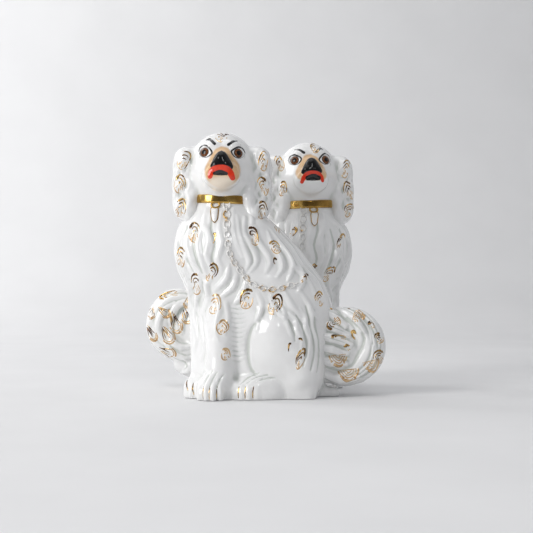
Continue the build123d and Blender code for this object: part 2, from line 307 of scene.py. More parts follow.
def strike(clays, places, rear=False, view="front"):
    """Where lines of sight first meet clays, the normals there, and which lines meet any.

    Each clay comes with its shift.
    """
    where = sight(places, rear, view)
    value = np.min([clay.sample(where - shift) for clay, shift in clays], axis=0)
    hit = np.clip((value < 0).argmax(1), 1, where.shape[1] - 1)
    row = np.arange(len(hit))
    near, far = value[row, hit - 1], value[row, hit]
    t = np.clip(near / (near - far + 1e-9), 0, 1)[:, None]
    spot = where[row, hit - 1] * (1 - t) + where[row, hit] * t
    values = np.stack([clay.sample(spot - shift) for clay, shift in clays])
    normals = np.stack([clay.normal(spot - shift) for clay, shift in clays])
    return spot, normals[values.argmin(0), row], (value < 0).any(1)


def lay(clay, line, radii, sink, k, view="front", cut=False, rear=False, shift=STILL):
    """A lock of hair: a roll laid on the clay along a line that the eye sees, raised or cut in."""
    spot, normal, met = strike([(clay, shift)], curve(line, 3), rear, view)
    if met.sum() < 3:
        return
    spot, normal = spot[met] - shift, normal[met]
    form = tube(spot - normal * sink, spread(radii, len(spot)), 1)
    (clay.carve if cut else clay.add)(form, k)


def ripple(clay, depth, keep=None):
    """Slow waves in the surface, as a mould leaves them. No waves lie nearer the viewer than keep."""
    x, y, z = clay.grid()
    waves = np.sin(x / 5.3 + 1.2 * np.sin(z / 9.1)) * np.sin(y / 4.7 + 1.1 * np.sin(z / 12.3 + 1.0))
    waves = waves * np.sin(z / 8.7 + x / 17.0)
    if keep is not None:
        waves = waves * np.clip((y - keep) / 12.0, 0, 1)
    clay.field += (depth * waves).astype(np.float32)


# Body, without its head and tail

BODY_LEVELS = np.array([
    # height, front of the chest, back of the rump, half the depth
    (-4, -66, 66, 44), (0, -66, 67, 44.5), (25, -68, 73, 49.5), (54, -70, 78, 52), (86, -75, 82, 53),
    (113, -88, 78.5, 53), (136, -99.5, 67.5, 52), (156, -106.5, 53, 50.4), (176, -109.6, 37.5, 48.2),
    (197, -107.5, 19.5, 45), (212, -100, 4, 41), (222, -91, -13, 36.5), (228, -87, -19, 34),
    (240, -86.6, -19.4, 33.6),
])
NECK_CUT = 234.0  # height where the body ends inside the collar
FLOOR = 0.3


def body_mass():
    """Chest, back and rump: ovals whose sizes change smoothly with height."""

    def distance(x, y, z):
        rows = [np.interp(z.ravel(), BODY_LEVELS[:, 0], BODY_LEVELS[:, i]) for i in (1, 2, 3)]
        for _ in range(3):
            rows = [np.convolve(np.pad(row, 4, mode="edge"), np.ones(9) / 9, "valid") for row in rows]
        front, back, deep = (row.reshape(z.shape) for row in rows)
        gap = oval_gap((x - (front + back) / 2, y), ((back - front) / 2, deep))
        return np.maximum(gap * 0.86, z - NECK_CUT)

    return np.array([-120.0, -70, -10]), np.array([100.0, 70, 240]), distance


CHEST_LOCKS = [
    # Each lock is a line in the photograph
    [(245, 217), (244, 232), (249, 243), (255, 254), (256, 263), (250, 272)],
    [(237, 216), (239.5, 234), (245, 250), (249, 261), (246, 269)],
    [(255, 226), (257, 238), (262, 247), (267.5, 255), (270, 263), (266, 272)],
    [(268, 232), (272, 244), (280, 257), (282, 268), (277, 277)],
    [(279, 243), (288, 256), (292, 268), (288, 281)],
    [(293, 257), (301, 270), (303, 280), (298, 292)],
    [(229, 266), (225.5, 279), (214, 291)],
    [(237, 274), (233, 287), (222, 296)],
    [(246, 281), (243, 294), (234, 304)],
    [(192, 224), (187, 240), (190, 256), (197, 268)],
    [(203, 226), (198, 244), (202, 262), (207, 276)],
    [(182, 230), (178, 246), (181, 262), (189, 277)],
    [(212, 276), (206, 286), (209, 298), (204, 310)],
    [(187, 276), (190, 290), (187, 304), (191, 316)],
    [(198, 274), (200, 288), (196, 301), (199, 314)],
]
CHEST_GROOVES = [
    [(187, 226), (183, 242), (186, 258), (193, 272)],
    [(197.5, 226), (193, 243), (196, 259), (202, 273)],
    [(213, 212), (211, 228), (215, 243), (212, 258), (216, 270)],
    [(180, 262), (184, 276), (182, 290)],
]
SOFT_LOCKS = [
    [(206, 209), (204, 224), (209, 238), (206, 254), (211, 268)],
    [(221, 212), (219, 228), (222, 243), (218, 258), (222, 268)],
    [(233, 210), (233, 226), (236, 240), (242, 256)],
    [(249, 206), (252, 220), (250, 232)],
    [(204, 280), (207, 294), (203, 308), (206, 322)],
    [(216, 296), (219, 310), (215, 326), (218, 340)],
    [(226, 303), (228, 318), (225, 334)],
    [(258, 294), (262, 306), (258, 318), (257, 330)],
    [(270, 295), (275, 308), (284, 318)],
    [(284, 291), (291, 304), (301, 315)],
    [(300, 291), (308, 303), (316, 316)],
    [(196, 300), (194, 318), (197, 336), (194, 352)],
    [(201, 310), (201, 328), (204, 346), (201, 360)],
]
HAUNCH_GROOVES = [
    [(284, 317), (290, 322), (294, 331), (295, 341)],
    [(296, 316), (302, 325), (306, 338), (307, 352), (303, 366)],
    [(306, 306), (309, 320), (313, 336), (314.5, 352), (311, 370)],
    [(314, 310), (315, 324), (318.5, 340), (319.5, 356), (317, 372)],
]
HAUNCH_LOCKS = [
    [(289, 313), (296, 320), (297, 330), (302, 339), (301, 350)],
    [(300, 309), (305.5, 318), (305.5, 329), (310, 340), (309, 354)],
    [(309, 305), (312.5, 316), (312, 328), (316, 340), (316, 356)],
    [(278, 314), (285, 318), (288, 327), (291, 335)],
    [(268, 306), (273, 312), (272, 318)],
    [(279, 305), (284, 312), (284, 319)],
    [(258, 306), (260, 312), (257, 319)],
]
FOOT_FOLDS = [
    [(240, 384), (248, 377.5), (259, 373.5)],
    [(246.5, 383), (256, 377.5), (268, 375)],
    [(253.5, 384), (263, 379), (275, 377.5)],
    [(204, 386), (207, 378), (212, 371)],
    [(210, 386), (213, 378.5), (217, 372)],
    [(217, 387), (220, 380), (224, 374)],
]
THIGH_FRONT = [(259, 321), (252, 328), (248.4, 340), (247.8, 354), (250, 367), (255, 374)]
HAIR = [
    # lines, radii along each, how deep they sink, blend, and whether they are cut in
    (CHEST_LOCKS, [1.2, 3.3, 3.6, 3.2, 1.0], 0.8, 2.6, False),
    (HAUNCH_GROOVES + CHEST_GROOVES, [0.4, 1.3, 1.5, 1.3, 0.4], 0.0, 2.6, True),
    (HAUNCH_LOCKS, [0.8, 2.0, 2.3, 2.0, 0.8], 0.7, 2.6, False),
    (SOFT_LOCKS, [1.0, 2.4, 2.6, 2.2, 0.8], 1.1, 3.0, False),
]
SIDE_RADII = [0.8, 2.4, 2.8, 2.4, 0.8]
CHEST_END = 236  # locks left of this pixel are on the chest, which the back doesn't repeat
NEAR_TOES = [(-76.0, -54.0), (-69.4, -59.5), (-61.6, -61.0), (-53.6, -57.5)]
FAR_TOES = [(-93.0, -27.0), (-87.5, -33.0), (-80.5, -36.0)]
HIND_TOES = [(-35.6, -47.0), (-28.4, -50.8), (-20.2, -52.0), (-11.0, -50.4)]
NEAR_LEG = [(-49, -26, 140), (-51, -30, 114), (-53, -37, 82), (-54, -41, 48), (-56, -43, 16)]
FAR_LEG = [(-76, -8, 132), (-76.5, -9, 106), (-77, -10.5, 76), (-76.5, -12, 44), (-77, -14, 16)]


def dress_body(clay):
    """Hair on the chest, haunches and sides, ribs behind the foreleg, and folds on the feet."""
    for view in ("front", "back"):
        for lines, radii, sink, k, cut in HAIR:
            for line in lines:
                if view == "front" or lines is not CHEST_LOCKS or line[0][0] >= CHEST_END:
                    lay(clay, line, radii, sink, k, view, cut)
    sway = 2.4
    for y in range(-33, 34, 11):
        line = [(y, 206), (y + sway, 188), (y - sway, 168), (y + sway, 148), (y * 0.9, 126)]
        lay(clay, line, SIDE_RADII, 1.0, 3.0, "left")
        line = [(y * 0.8, 200), (y + sway, 178), (y - sway, 156), (y + sway, 136), (y, 116)]
        lay(clay, line, SIDE_RADII, 1.0, 3.0, "right")
    for step in range(12):
        level = 306 + step * 4.7
        lay(clay, [(232.5, level), (239.5, level + 1.0), (246.0, level - 0.4)], [1.0, 1.9, 0.6], 0.7, 1.8)
    lay(clay, THIGH_FRONT, [0.2, 0.7, 1.3, 1.5, 1.0, 0.2], 0.0, 5.0, cut=True)
    for line in FOOT_FOLDS:
        lay(clay, line, [0.3, 0.9, 0.4], 0.2, 1.8, cut=True)


def sculpt_body():
    clay = Clay((-118, -78, -4), (92, 64, 238), 1.2)
    clay.add(body_mass(), 0)
    # Base, its corners under the tail and under the paws, and the chest's swell
    clay.add(slab((-3, 0, 4), (61, 48, 14), 11), 5)
    clay.add(slab((60, 20, 2), (27, 34, 9), 8), 7)
    clay.add(slab((-36, -44, 4), (26, 10, 10), 6), 6)
    clay.add(egg((-56, -16, 168), (43, 38, 46)), 16)
    # Thighs and hind feet, set a little further in at the back
    for side, swell, room in ((-1, 59.5, 0.0), (1, 54.0, 3.0)):
        clay.add(egg((21, side * (swell - 33), 57), (40, 33, 43), 0, -8), 13)
        clay.add(egg((12, side * (swell - 17), 78), (19, 16, 19), 0, -20), 14)
        clay.add(egg((38, side * (swell - 34), 30), (30, 31, 32)), 8)
        clay.add(egg((-8, side * (42.5 - room), 11), (29, 15, 20), 0, 6), 5)
        for x, y in HIND_TOES:
            clay.add(egg((x, side * (-y - room - 1.0), 8), (5.6, 8.4, 12.5)), 3.4)
    # Forelegs, the web between them, paws and toes
    clay.add(tube(NEAR_LEG, [21, 20.5, 18, 16, 16]), 8)
    clay.add(tube(FAR_LEG, [17, 16.5, 14.5, 13.5, 13.5]), 6)
    clay.add(egg((-66, -24, 62), (15, 13, 62)), 8)
    clay.add(egg((-63, -46, 14), (18, 17, 17)), 7)
    clay.add(egg((-83, -22, 12), (14, 14, 14)), 6)
    for x, y in NEAR_TOES + FAR_TOES:
        clay.add(egg((x, y + 1.5, 8), (5.2, 10.4, 12)), 3.4)
    dress_body(clay)
    ripple(clay, 0.45)
    clay.field = np.maximum(clay.field, FLOOR - clay.grid()[2]).astype(np.float32)
    return clay


# Tail

TAIL_MIDDLE = np.array([94.0, 0.0, 59.5])
TAIL_TURNS = [
    # degrees round the curl, with its reach and thickness there
    (0, 1.15, 0.80), (35, 1.05, 0.92), (70, 1.0, 0.98), (105, 1.0, 1.02), (140, 1.0, 1.02),
    (175, 1.0, 1.0), (210, 1.0, 0.94), (245, 0.98, 0.80), (272, 0.92, 0.58),
]
TAIL_START, TAIL_REACH, TAIL_THICK = -132, 29, 19.6
TAIL_GROOVE = [(347, 318), (358, 328), (364, 339), (359, 352), (351, 366), (340, 371)]
TAIL_LOCKS = [
    [(330, 306), (346, 309), (359, 317), (367, 328), (370, 340)],
    [(345, 307), (361, 314), (371, 326), (377, 340), (378, 355)],
    [(372, 343), (369, 359), (358, 371), (343, 377)],
    [(380, 348), (376, 365), (363, 377), (346, 383)],
]
TAIL_STRANDS = [
    [(334, 304.5), (352, 309.5), (364, 319), (371, 331), (373.5, 345)],
    [(352, 306.5), (366, 314.5), (376, 328), (381, 343), (380.5, 356)],
    [(375.5, 346), (372, 362), (360, 374), (344, 380)],
    [(384, 352), (379.5, 368), (366, 380.5), (350, 386)],
    [(326, 309), (341, 316), (352, 325), (357, 335)],
    [(324, 324), (338, 329), (350, 334)],
    [(324, 337), (340, 341), (352, 346)],
    [(323, 352), (338, 356), (349, 357)],
    [(323, 366), (340, 371), (354, 371)],
]
TUFT_LOCKS = [
    # a line and how thick the lobe is
    ([(316, 306), (329, 312), (345, 326)], 6.8),
    ([(314, 320), (329, 326), (348, 335)], 6.2),
    ([(314, 333), (331, 338), (351, 345)], 5.8),
    ([(315, 346), (331, 350), (347, 354)], 6.0),
    ([(316, 358), (331, 362), (346, 364)], 6.6),
    ([(318, 371), (340, 379), (358, 377)], 7.0),
    ([(338, 309), (354, 317), (363, 332)], 6.0),
]
REAR_TUFTS = [
    # locks of the other dog's tail, with how thick each is
    ([(196, 294), (181, 291), (167, 293), (155, 302)], 4.0),
    ([(197, 300), (184, 297), (171, 299), (159, 307), (152, 318)], 4.2),
    ([(198, 305), (187, 302), (177, 306), (171, 317), (171, 330)], 5.2),
    ([(196, 309), (187, 312), (181, 321), (182, 333)], 5.0),
    ([(174, 303), (165, 309), (159, 318), (158, 330), (163, 339)], 4.6),
    ([(152, 316), (149, 327), (152, 338), (160, 347), (172, 352)], 4.2),
    ([(170, 331), (172, 341), (181, 347), (192, 346)], 4.6),
    ([(166, 344), (174, 354), (186, 358), (196, 355)], 4.2),
    ([(182, 357), (190, 363), (189, 370), (181, 373)], 4.0),
]


def sculpt_tail(dog):
    rear = dog == "rear_dog"
    clay = Clay((30, -44, -16 if rear else -4), (147, 44, 122), 1.0)
    line = []
    for turn, reach, _ in TAIL_TURNS:
        angle = math.radians(turn + TAIL_START)
        line.append(TAIL_MIDDLE + TAIL_REACH * reach * np.array([math.cos(angle), 0, math.sin(angle)]))
    clay.add(tube(line, [TAIL_THICK * share for _, _, share in TAIL_TURNS]), 0)
    for side in (-1, 1):
        clay.add(egg((68, side * 7, 62), (25, 20, 45)), 8)
    if rear:
        clay.add(tube([(60, 0, 14), (80, 0, 5), (97, 0, 7)], [18, 15, 10]), 8)
    for side in (-1, 1):
        clay.add(egg(TAIL_MIDDLE + (-3, side * 3, 0), (20, 17, 25)), 4)
    for view in ("back",) if rear else ("front", "back"):
        proud = 0.10 if view == "front" else 0.72
        for lock, thick in TUFT_LOCKS:
            lay(clay, lock, [thick * 0.6, thick, thick * 0.6], thick * proud, 1.6, view)
        lay(clay, TAIL_GROOVE, [0.8, 2.0, 2.6, 2.2, 0.8], 0.0, 2.4, view, True)
        for lock in TAIL_LOCKS:
            lay(clay, lock, [0.7, 1.7, 1.9, 1.6, 0.6], -0.1, 2.2, view, True)
        for lock in TAIL_STRANDS:
            lay(clay, lock, [0.3, 1.0, 1.1, 0.9, 0.3], 0.1, 1.8, view, True)
    for lock, thick in REAR_TUFTS if rear else ():
        radii = [thick * 0.5, thick, thick, thick * 0.4]
        lay(clay, lock, radii, thick * 0.15, 1.8, rear=True, shift=TAIL_SHIFTS[dog])
    ripple(clay, 0.4)
    return clay


# Head and ears

SIDE_HAIR = [
    # middle, radii and tilt of each curl of hair between an ear and the collar
    ((-19, -14, 250), (8, 12, 17), 6),
    ((-21, -18, 233), (8.5, 12, 15), -4),
    ((-17, -19, 216), (9.5, 12, 13), -16),
    ((-88.5, -13, 250), (7, 11, 16), -4),
    ((-89.5, -16, 233), (7, 11, 14), 4),
    ((-91, -15, 218), (8, 11, 12), 14),
]
EAR_CURLS = [
    # place in the photograph, half the width and half the height of each curl, in millimetres
    (183.6, 160, 6.6, 10.5),
    (179.8, 184, 6.4, 10),
    (180.4, 208, 6.8, 10),
    (263.4, 161, 6.0, 10.5),
    (263.6, 186, 6.2, 10),
    (262.4, 210, 6.4, 9.5),
]
EAR_WAVES = [(176.8, 1.5), (182.4, -1.7), (188, 1.5), (257.6, 1.5), (263.4, -1.7), (269, 1.5)]


def eye_place(side):
    """Middle of an eye's seat, the way it looks out, and the ways across and up."""
    turn, tilt = math.radians(side * 31), math.radians(10.8 - 0.8 * side)
    out = np.array([math.sin(turn) * math.cos(tilt), -math.cos(turn) * math.cos(tilt), math.sin(tilt)])
    across = unit(np.cross(out, (0, 0, 1.0)))
    return np.array([NECK_X, 0, EYE_LEVEL]) + out * EYE_REACH, out, across, np.cross(across, out)


def neck():
    """An upright post inside the collar."""

    def distance(x, y, z):
        return np.maximum(np.sqrt((x - NECK_X) ** 2 + y**2) - 34.0, np.maximum(z - 252.0, 231.0 - z))

    return np.array([-88.0, -35, 231]), np.array([-18.0, 35, 252]), distance


def dress_head(clay):
    """Hair beside the collar, curls and waves on the ears, and hair down the back of the head."""
    for middle, radii, tilt in SIDE_HAIR:
        clay.add(egg(middle, radii, 0, tilt), 6)
    for view in ("front", "back"):
        spot, normal, _ = strike([(clay, STILL)], [row[:2] for row in EAR_CURLS], view=view)
        for place, out, (_, _, wide, high) in zip(spot, normal, EAR_CURLS):
            clay.add(egg(place - out * 1.0, (wide, 3.4, high)), 3.0)
        for x, bend in EAR_WAVES:
            line = [(x + bend * (-1) ** i * min(i, 1), 150 + 8.6 * i) for i in range(9)]
            lay(clay, line, [0.6, 2.4, 2.6, 2.6, 2.4, 0.6], 1.3, 2.6, view)
    for x in (194, 201, 208, 215, 222, 229, 236, 243, 249):
        line = [(x * 0.55 + 99, 142), (x * 0.9 + 23.5, 156), (x - 2, 169), (x + 2, 182), (x - 1, 193)]
        lay(clay, line, [0.6, 1.9, 2.1, 1.9, 0.6], 0.9, 2.4, "back")
    for view in ("left", "right"):
        for y in (-17, -9, -1):
            line = [(y + 1.9 * (-1) ** i, 291 - 9.4 * i) for i in range(9)]
            lay(clay, line, [0.6, 2.3, 2.5, 2.5, 2.3, 0.6], 1.1, 2.4, view)


def sculpt_head():
    clay = Clay((-117, -66, 200), (11, 46, 318), 0.8)
    # Skull, jaw and neck
    clay.add(egg((NECK_X, 0, 272.0), (40, 40, 43.6)), 0)
    clay.add(egg((NECK_X, -8, 262), (38, 33, 28)), 10)
    clay.add(neck(), 7)
    # Muzzle, cheeks under the lips, brows, chin, nose and nostrils
    clay.add(egg((MUZZLE_X, -36, 265), (20.5, 25, 21.5)), 15)
    for side in (-1, 1):
        clay.add(egg((MUZZLE_X + side * 11, -49, 260), (10, 10, 10.5), side * 12), 6)
        clay.add(egg((MUZZLE_X + side * 11, -29.5, 297), (10, 6, 6), 0, side * 14), 8)
    clay.add(egg((MUZZLE_X, -47, 252), (12, 11, 8)), 5)
    clay.add(egg((MUZZLE_X, -51.5, 279), (8.6, 10, 10)), 5)
    for side in (-1, 1):
        clay.add(egg((MUZZLE_X + side * 6.0, -54.0, 272.4), (7.0, 7.6, 5.6)), 6)
    mouth = [(-60, -61.5, 260.5), (MUZZLE_X, -63.5, 262.5), (-44.5, -61.5, 260.0)]
    clay.carve(tube(mouth, [1.2, 2.4, 1.2]), 1.6)
    # Ears from top to tip, and eye sockets with their lids
    for side in (-1, 1):
        ear_x = NECK_X + side * 47.0
        clay.add(egg((ear_x - side * 5, -4, 288), (13, 14, 10), 0, side * 24), 6)
        clay.add(egg((ear_x - side * 1.0, -6, 277), (11.8, 14.5, 18)), 6)
        clay.add(egg((ear_x - side * 0.2, -6.5, 252), (11.8, 14.5, 18)), 9)
        clay.add(egg((ear_x - side * 0.8, -7, 227), (12.0, 14, 18), 0, side * 8), 9)
        seat, out, across, up = eye_place(side)
        turns = np.linspace(0, 2 * math.pi, 25)[:, None]
        lid = seat + out * 0.9 + 7.1 * (np.cos(turns) * across * 1.08 + np.sin(turns) * up * 0.95)
        clay.carve(egg(seat + out * 5.0, (6.9, 6.9, 6.9)), 0.8)
        clay.add(tube(lid, 1.1, 1), 1.2)
        clay.carve(egg(seat + out * 4.4, (6.3, 6.3, 6.3)), 0.4)
    dress_head(clay)
    ripple(clay, 0.35, -20.0)
    return clay


head_clay, body_clay = sculpt_head(), sculpt_body()
tail_clays = {dog: sculpt_tail(dog) for dog in DOGS}


# Materials


class Nodes:
    """A node tree that ends in one shader, with short ways to add nodes."""

    def __init__(self, owner, shader="Principled BSDF"):
        owner.use_nodes = True
        self.owner, self.tree = owner, owner.node_tree
        self.shader = self.tree.nodes[shader]

    def fill(self, node, values):
        """Set a node's own settings, or else its inputs."""
        for key, value in values.items():
            if hasattr(node, key):
                setattr(node, key, value)
            else:
                node.inputs[key.replace("_", " ")].default_value = value
        return node

    def add(self, kind, **values):
        return self.fill(self.tree.nodes.new(kind), values)

    def set(self, **values):
        self.fill(self.shader, values)

    def link(self, source, target):
        self.tree.links.new(source, target)

    def feed(self, socket, source):
        self.link(source, self.shader.inputs[socket])

    def noise(self, scale, detail=3.0):
        if not hasattr(self, "place"):
            self.place = self.add("ShaderNodeTexCoord").outputs["Object"]
        node = self.add("ShaderNodeTexNoise", Scale=scale, Detail=detail, Roughness=0.5)
        self.link(self.place, node.inputs["Vector"])
        return node.outputs["Fac"]

    def ramp(self, source, *stops):
        """Two colours or greys, blended between two values of a source."""
        node = self.add("ShaderNodeValToRGB")
        for element, (place, colour) in zip(node.color_ramp.elements, stops):
            element.position, element.color = place, (*np.broadcast_to(colour, 3), 1.0)
        self.link(source, node.inputs["Fac"])
        return node.outputs["Color"]

    def mix(self, factor, a, b):
        node = self.add("ShaderNodeMix", data_type="RGBA")
        self.link(factor, node.inputs["Factor"])
        for value, socket in ((a, node.inputs[6]), (b, node.inputs[7])):
            if isinstance(value, tuple):
                socket.default_value = (*value, 1.0)
            else:
                self.link(value, socket)
        return node.outputs[2]

    def attribute(self, name):
        return self.add("ShaderNodeAttribute", attribute_name=name).outputs["Fac"]

    def step(self, source, low, high):
        node = self.add("ShaderNodeMapRange", interpolation_type="SMOOTHSTEP", From_Min=low, From_Max=high)
        self.link(source, node.inputs["Value"])
        return node.outputs["Result"]

    def bump(self, source, strength, distance):
        node = self.add("ShaderNodeBump", Strength=strength, Distance=distance)
        self.link(source, node.inputs["Height"])
        self.feed("Normal", node.outputs["Normal"])


def material(name):
    return Nodes(bpy.data.materials.new(name))


def glaze_material(name, painted=False):
    """White glaze that turns darker and greenish grey in hollows, partly as pooled glaze and partly as
    painted shade, with enamel colours on the face.
    """
    m = material(name)
    colour = m.ramp(m.noise(38.0, 4.0), (0.30, (0.80, 0.80, 0.795)), (0.72, (0.86, 0.86, 0.855)))
    # Painted shade: the glaze darkens to grey-green where the surface curves in. This deepens the hair's
    # grooves beyond what real pooled glaze would give.
    colour = m.mix(m.step(m.attribute("hollow"), 0.05, 0.9), colour, (0.59, 0.615, 0.58))
    if painted:
        black = (0.010, 0.010, 0.011)
        tan = m.mix(m.noise(160.0, 2.0), (0.60, 0.36, 0.17), (0.72, 0.50, 0.29))
        red = m.mix(m.noise(220.0, 2.0), (0.60, 0.010, 0.003), (0.80, 0.055, 0.008))
        for paint_name, low, high, shade in (
            ("tan", -0.6, 0.8, tan),
            ("chin", -0.9, 0.7, (0.80, 0.70, 0.58)),
            ("black", -0.2, 0.3, black),
            ("lips", -0.25, 0.35, red),
            ("mouth", -0.25, 0.35, black),
        ):
            colour = m.mix(m.step(m.attribute(paint_name), low, high), colour, shade)
    m.feed("Base Color", colour)
    m.feed("Roughness", m.ramp(m.noise(90.0), (0.3, 0.10), (0.75, 0.20)))
    m.bump(m.noise(70.0, 2.0), 0.12, 0.0006)
    m.set(Coat_Weight=0.25, Coat_Roughness=0.05, IOR=1.5)
    return m.owner


def mottled(name, grain, dark, light, relief, **values):
    """Two mottled tones over a fine relief. Each noise is given as its scale and detail."""
    m = material(name)
    m.feed("Base Color", m.ramp(m.noise(*grain), dark, light))
    m.bump(m.noise(*relief[:2]), *relief[2:])
    m.set(**values)
    return m


def gilt_material(name, dark, light, grain, metal=1.0):
    m = mottled(name, (grain,), (0.42, dark), (0.64, light), (90.0, 3.0, 0.08, 0.0003), Metallic=metal)
    m.feed("Roughness", m.ramp(m.noise(120.0), (0.3, 0.10), (0.7, 0.24)))
    return m.owner


def worn_material():
    """Relief that was gilded over white glaze and has rubbed thin on top."""
    m = material("worn_gilding")
    worn = m.step(m.noise(110.0, 2.0), 0.31, 0.48)
    m.feed("Base Color", m.mix(worn, (0.66, 0.41, 0.13), (0.82, 0.81, 0.79)))
    m.feed("Metallic", m.step(m.noise(110.0, 2.0), 0.48, 0.31))
    m.bump(m.noise(700.0), 0.15, 0.0002)
    m.set(Roughness=0.22)
    return m.owner


def eye_material():
    """Brown glass with a black pupil and a dark rim."""
    m = material("brown_glass")
    way = m.attribute("way_out")
    iris = m.mix(m.noise(900.0, 2.0), (0.050, 0.016, 0.005), (0.25, 0.085, 0.022))
    colour = m.mix(m.step(way, 0.44, 0.54), (0.001, 0.001, 0.001), iris)
    m.feed("Base Color", m.mix(m.step(way, 0.80, 0.93), colour, (0.012, 0.007, 0.005)))
    m.set(Roughness=0.03, IOR=1.42)
    return m.owner


black_enamel = mottled(
    "black_enamel", (140.0,), (0.3, 0.004), (0.7, (0.009, 0.009, 0.010)), (60.0, 2.0, 0.04, 0.0004),
    Roughness=0.09, IOR=1.36,
).owner
bare_clay = mottled(
    "bare_clay", (120.0, 5.0), (0.3, (0.56, 0.50, 0.42)), (0.7, (0.70, 0.64, 0.55)),
    (900.0, 3.0, 0.3, 0.0003), Roughness=0.85,
).owner
brown_glass, worn_gilding = eye_material(), worn_material()
glaze, locket_glaze = glaze_material("white_glaze"), glaze_material("locket_glaze")
face_glaze = glaze_material("painted_glaze", True)
gilding = gilt_material("gilding", (0.13, 0.065, 0.03), (0.82, 0.54, 0.20), 120.0)
pale_gilding = gilt_material("pale_gilding", (0.62, 0.40, 0.20), (0.84, 0.64, 0.40), 150.0, 0.55)
bright_gilding = gilt_material("bright_gilding", (0.34, 0.19, 0.045), (0.74, 0.48, 0.14), 45.0)

# Glazed pieces and the painted faces


def show(dog, name, points, faces, cover, slot, *nodes):
    """A piece from the left-facing dog's points, turned for the other dog, in place of CAD nodes."""
    faces = np.asarray(faces)[:, :: DOGS[dog][0]]
    mesh = bpy.data.meshes.new(f"{dog}_{name}")
    width = faces.shape[1]
    mesh.vertices.add(len(points))
    mesh.vertices.foreach_set("co", world(points, dog).astype(np.float32).ravel())
    mesh.loops.add(faces.size)
    mesh.loops.foreach_set("vertex_index", faces.astype(np.int32).ravel())
    mesh.polygons.add(len(faces))
    mesh.polygons.foreach_set("loop_start", np.arange(0, faces.size, width, dtype=np.int32))
    mesh.polygons.foreach_set("loop_total", np.full(len(faces), width, np.int32))
    mesh.update(calc_edges=True)
    mesh.validate()
    mesh.polygons.foreach_set("use_smooth", np.ones(len(mesh.polygons), bool))
    mesh.materials.append(cover)
    piece = bpy.data.objects.new(mesh.name, mesh)
    bpy.context.scene.collection.objects.link(piece)
    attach(piece, "root")
    if nodes:
        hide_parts(*(f"{dog}_{node}" for node in nodes))
    return piece


def paint(piece, name, values):
    mark = piece.data.attributes.new(name, "FLOAT", "POINT")
    mark.data.foreach_set("value", np.asarray(values, np.float32))


def hollows(clay, points, reach=2.6):
    """How far the clay curves inwards at each point."""
    around = np.zeros(len(points))
    for axis in np.eye(3):
        around += clay.sample(points + axis * reach) + clay.sample(points - axis * reach)
    return np.clip(-(around - 6 * clay.sample(points)) / reach, -1, 2)


def photo_place(points):
    """Pixels where the photograph shows points of the left-facing dog in the front place."""
    x, y, z = (points - CAMERA).T
    return PIXEL_MIDDLE + FOCAL * np.stack([x, -z], 1) / y[:, None]


def line_gap(places, a, b):
    d = b - a
    t = np.clip(((places - a) @ d) / (d @ d + 1e-9), 0, 1)
    return np.linalg.norm(places - a - t[:, None] * d, axis=1)


def inside_shape(places, corners, soft):
    """From 1 inside a smooth outline of pixels to -1 outside it, over a soft edge."""
    outline = curve(corners + corners[:1], 3)[:-1]
    inside = np.zeros(len(places), bool)
    gap = np.full(len(places), np.inf)
    for a, b in zip(outline, np.roll(outline, -1, 0)):
        crosses = (a[1] > places[:, 1]) != (b[1] > places[:, 1])
        with np.errstate(divide="ignore", invalid="ignore"):
            x = (b[0] - a[0]) * (places[:, 1] - a[1]) / (b[1] - a[1]) + a[0]
        inside ^= crosses & (places[:, 0] < x)
        gap = np.minimum(gap, line_gap(places, a, b))
    return np.clip(np.where(inside, gap, -gap) / soft, -1, 1)


def stroke_shape(places, line, widths, soft):
    """The same for a stroke of varying width along a line of pixels."""
    line = curve(line, 4)
    widths = spread(widths, len(line))
    best = np.full(len(places), -np.inf)
    for a, b, w in zip(line, line[1:], (widths[1:] + widths[:-1]) / 2):
        best = np.maximum(best, w / 2 - line_gap(places, a, b))
    return np.clip(best / soft, -1, 1)


NOSE = [
    (221.4, 150.2), (225.6, 152.4), (228.8, 157), (231.6, 162), (233.4, 167), (230.5, 169.8),
    (222, 169.6), (213, 169), (210.2, 166), (212, 161), (214.4, 156.4), (217.4, 152.4),
]
MUZZLE = [
    (221, 146.2), (228, 148), (233.4, 156), (239, 164), (240.6, 171), (239, 178), (233, 184), (221.6, 187.6),
    (211.5, 184), (205.6, 177.5), (204.6, 169), (208, 161), (213.8, 150.5),
]
REAR_MUZZLE = [
    (221, 146.2), (228, 148), (233.4, 156), (238, 164), (238.6, 170), (235, 175.4), (221.6, 176),
    (208.4, 175.4), (204.6, 169), (207, 161), (213, 150.5),
]
CHIN = [(212, 178), (222, 176.6), (230.4, 178), (233.4, 183.5), (222, 190), (209.6, 183.5)]
BROWS = [
    [(206.2, 140.0), (209.8, 139.4), (214.6, 143.6)],
    [(237.2, 141.0), (233, 141.6), (228.4, 144.6)],
]
EYE_LINES = [
    [
        (198.6, 151.5), (200.6, 147.2), (204.8, 145.2), (208.6, 147.4), (212.0, 152.6),
        (208.4, 156.2), (204.2, 157.6), (200.4, 155.6), (198.6, 151.5),
    ],
    [
        (245.0, 153.0), (242.8, 148.9), (238.9, 147.0), (235.0, 148.4), (231.4, 151.4),
        (234.2, 156.2), (238.4, 158.3), (242.8, 157.0), (245.0, 153.0),
    ],
]
LIPS = [
    (210.0, 176.4), (211.4, 172.0), (214.6, 169.2), (220.5, 167.8), (226.4, 168.9), (230.2, 172.6),
    (232.6, 177.8),
]
LIP_WIDTHS = np.array([4.8, 6.2, 6.8, 6.4, 6.6, 6.8, 5.4])
MOUTH = [(214.4, 173.3), (220.2, 172.6), (226.4, 173.6)]
FACES = {
    # muzzle, share of the lips' widths, and widths along the mouth
    "front_dog": (MUZZLE, 1.0, [3.0, 6.0, 3.0]),
    "rear_dog": (REAR_MUZZLE, 0.74, [5.0, 8.0, 5.0]),
}
FACE_DEPTH, NOSE_DEPTH = -18, -44  # paint lies nearer the viewer than these


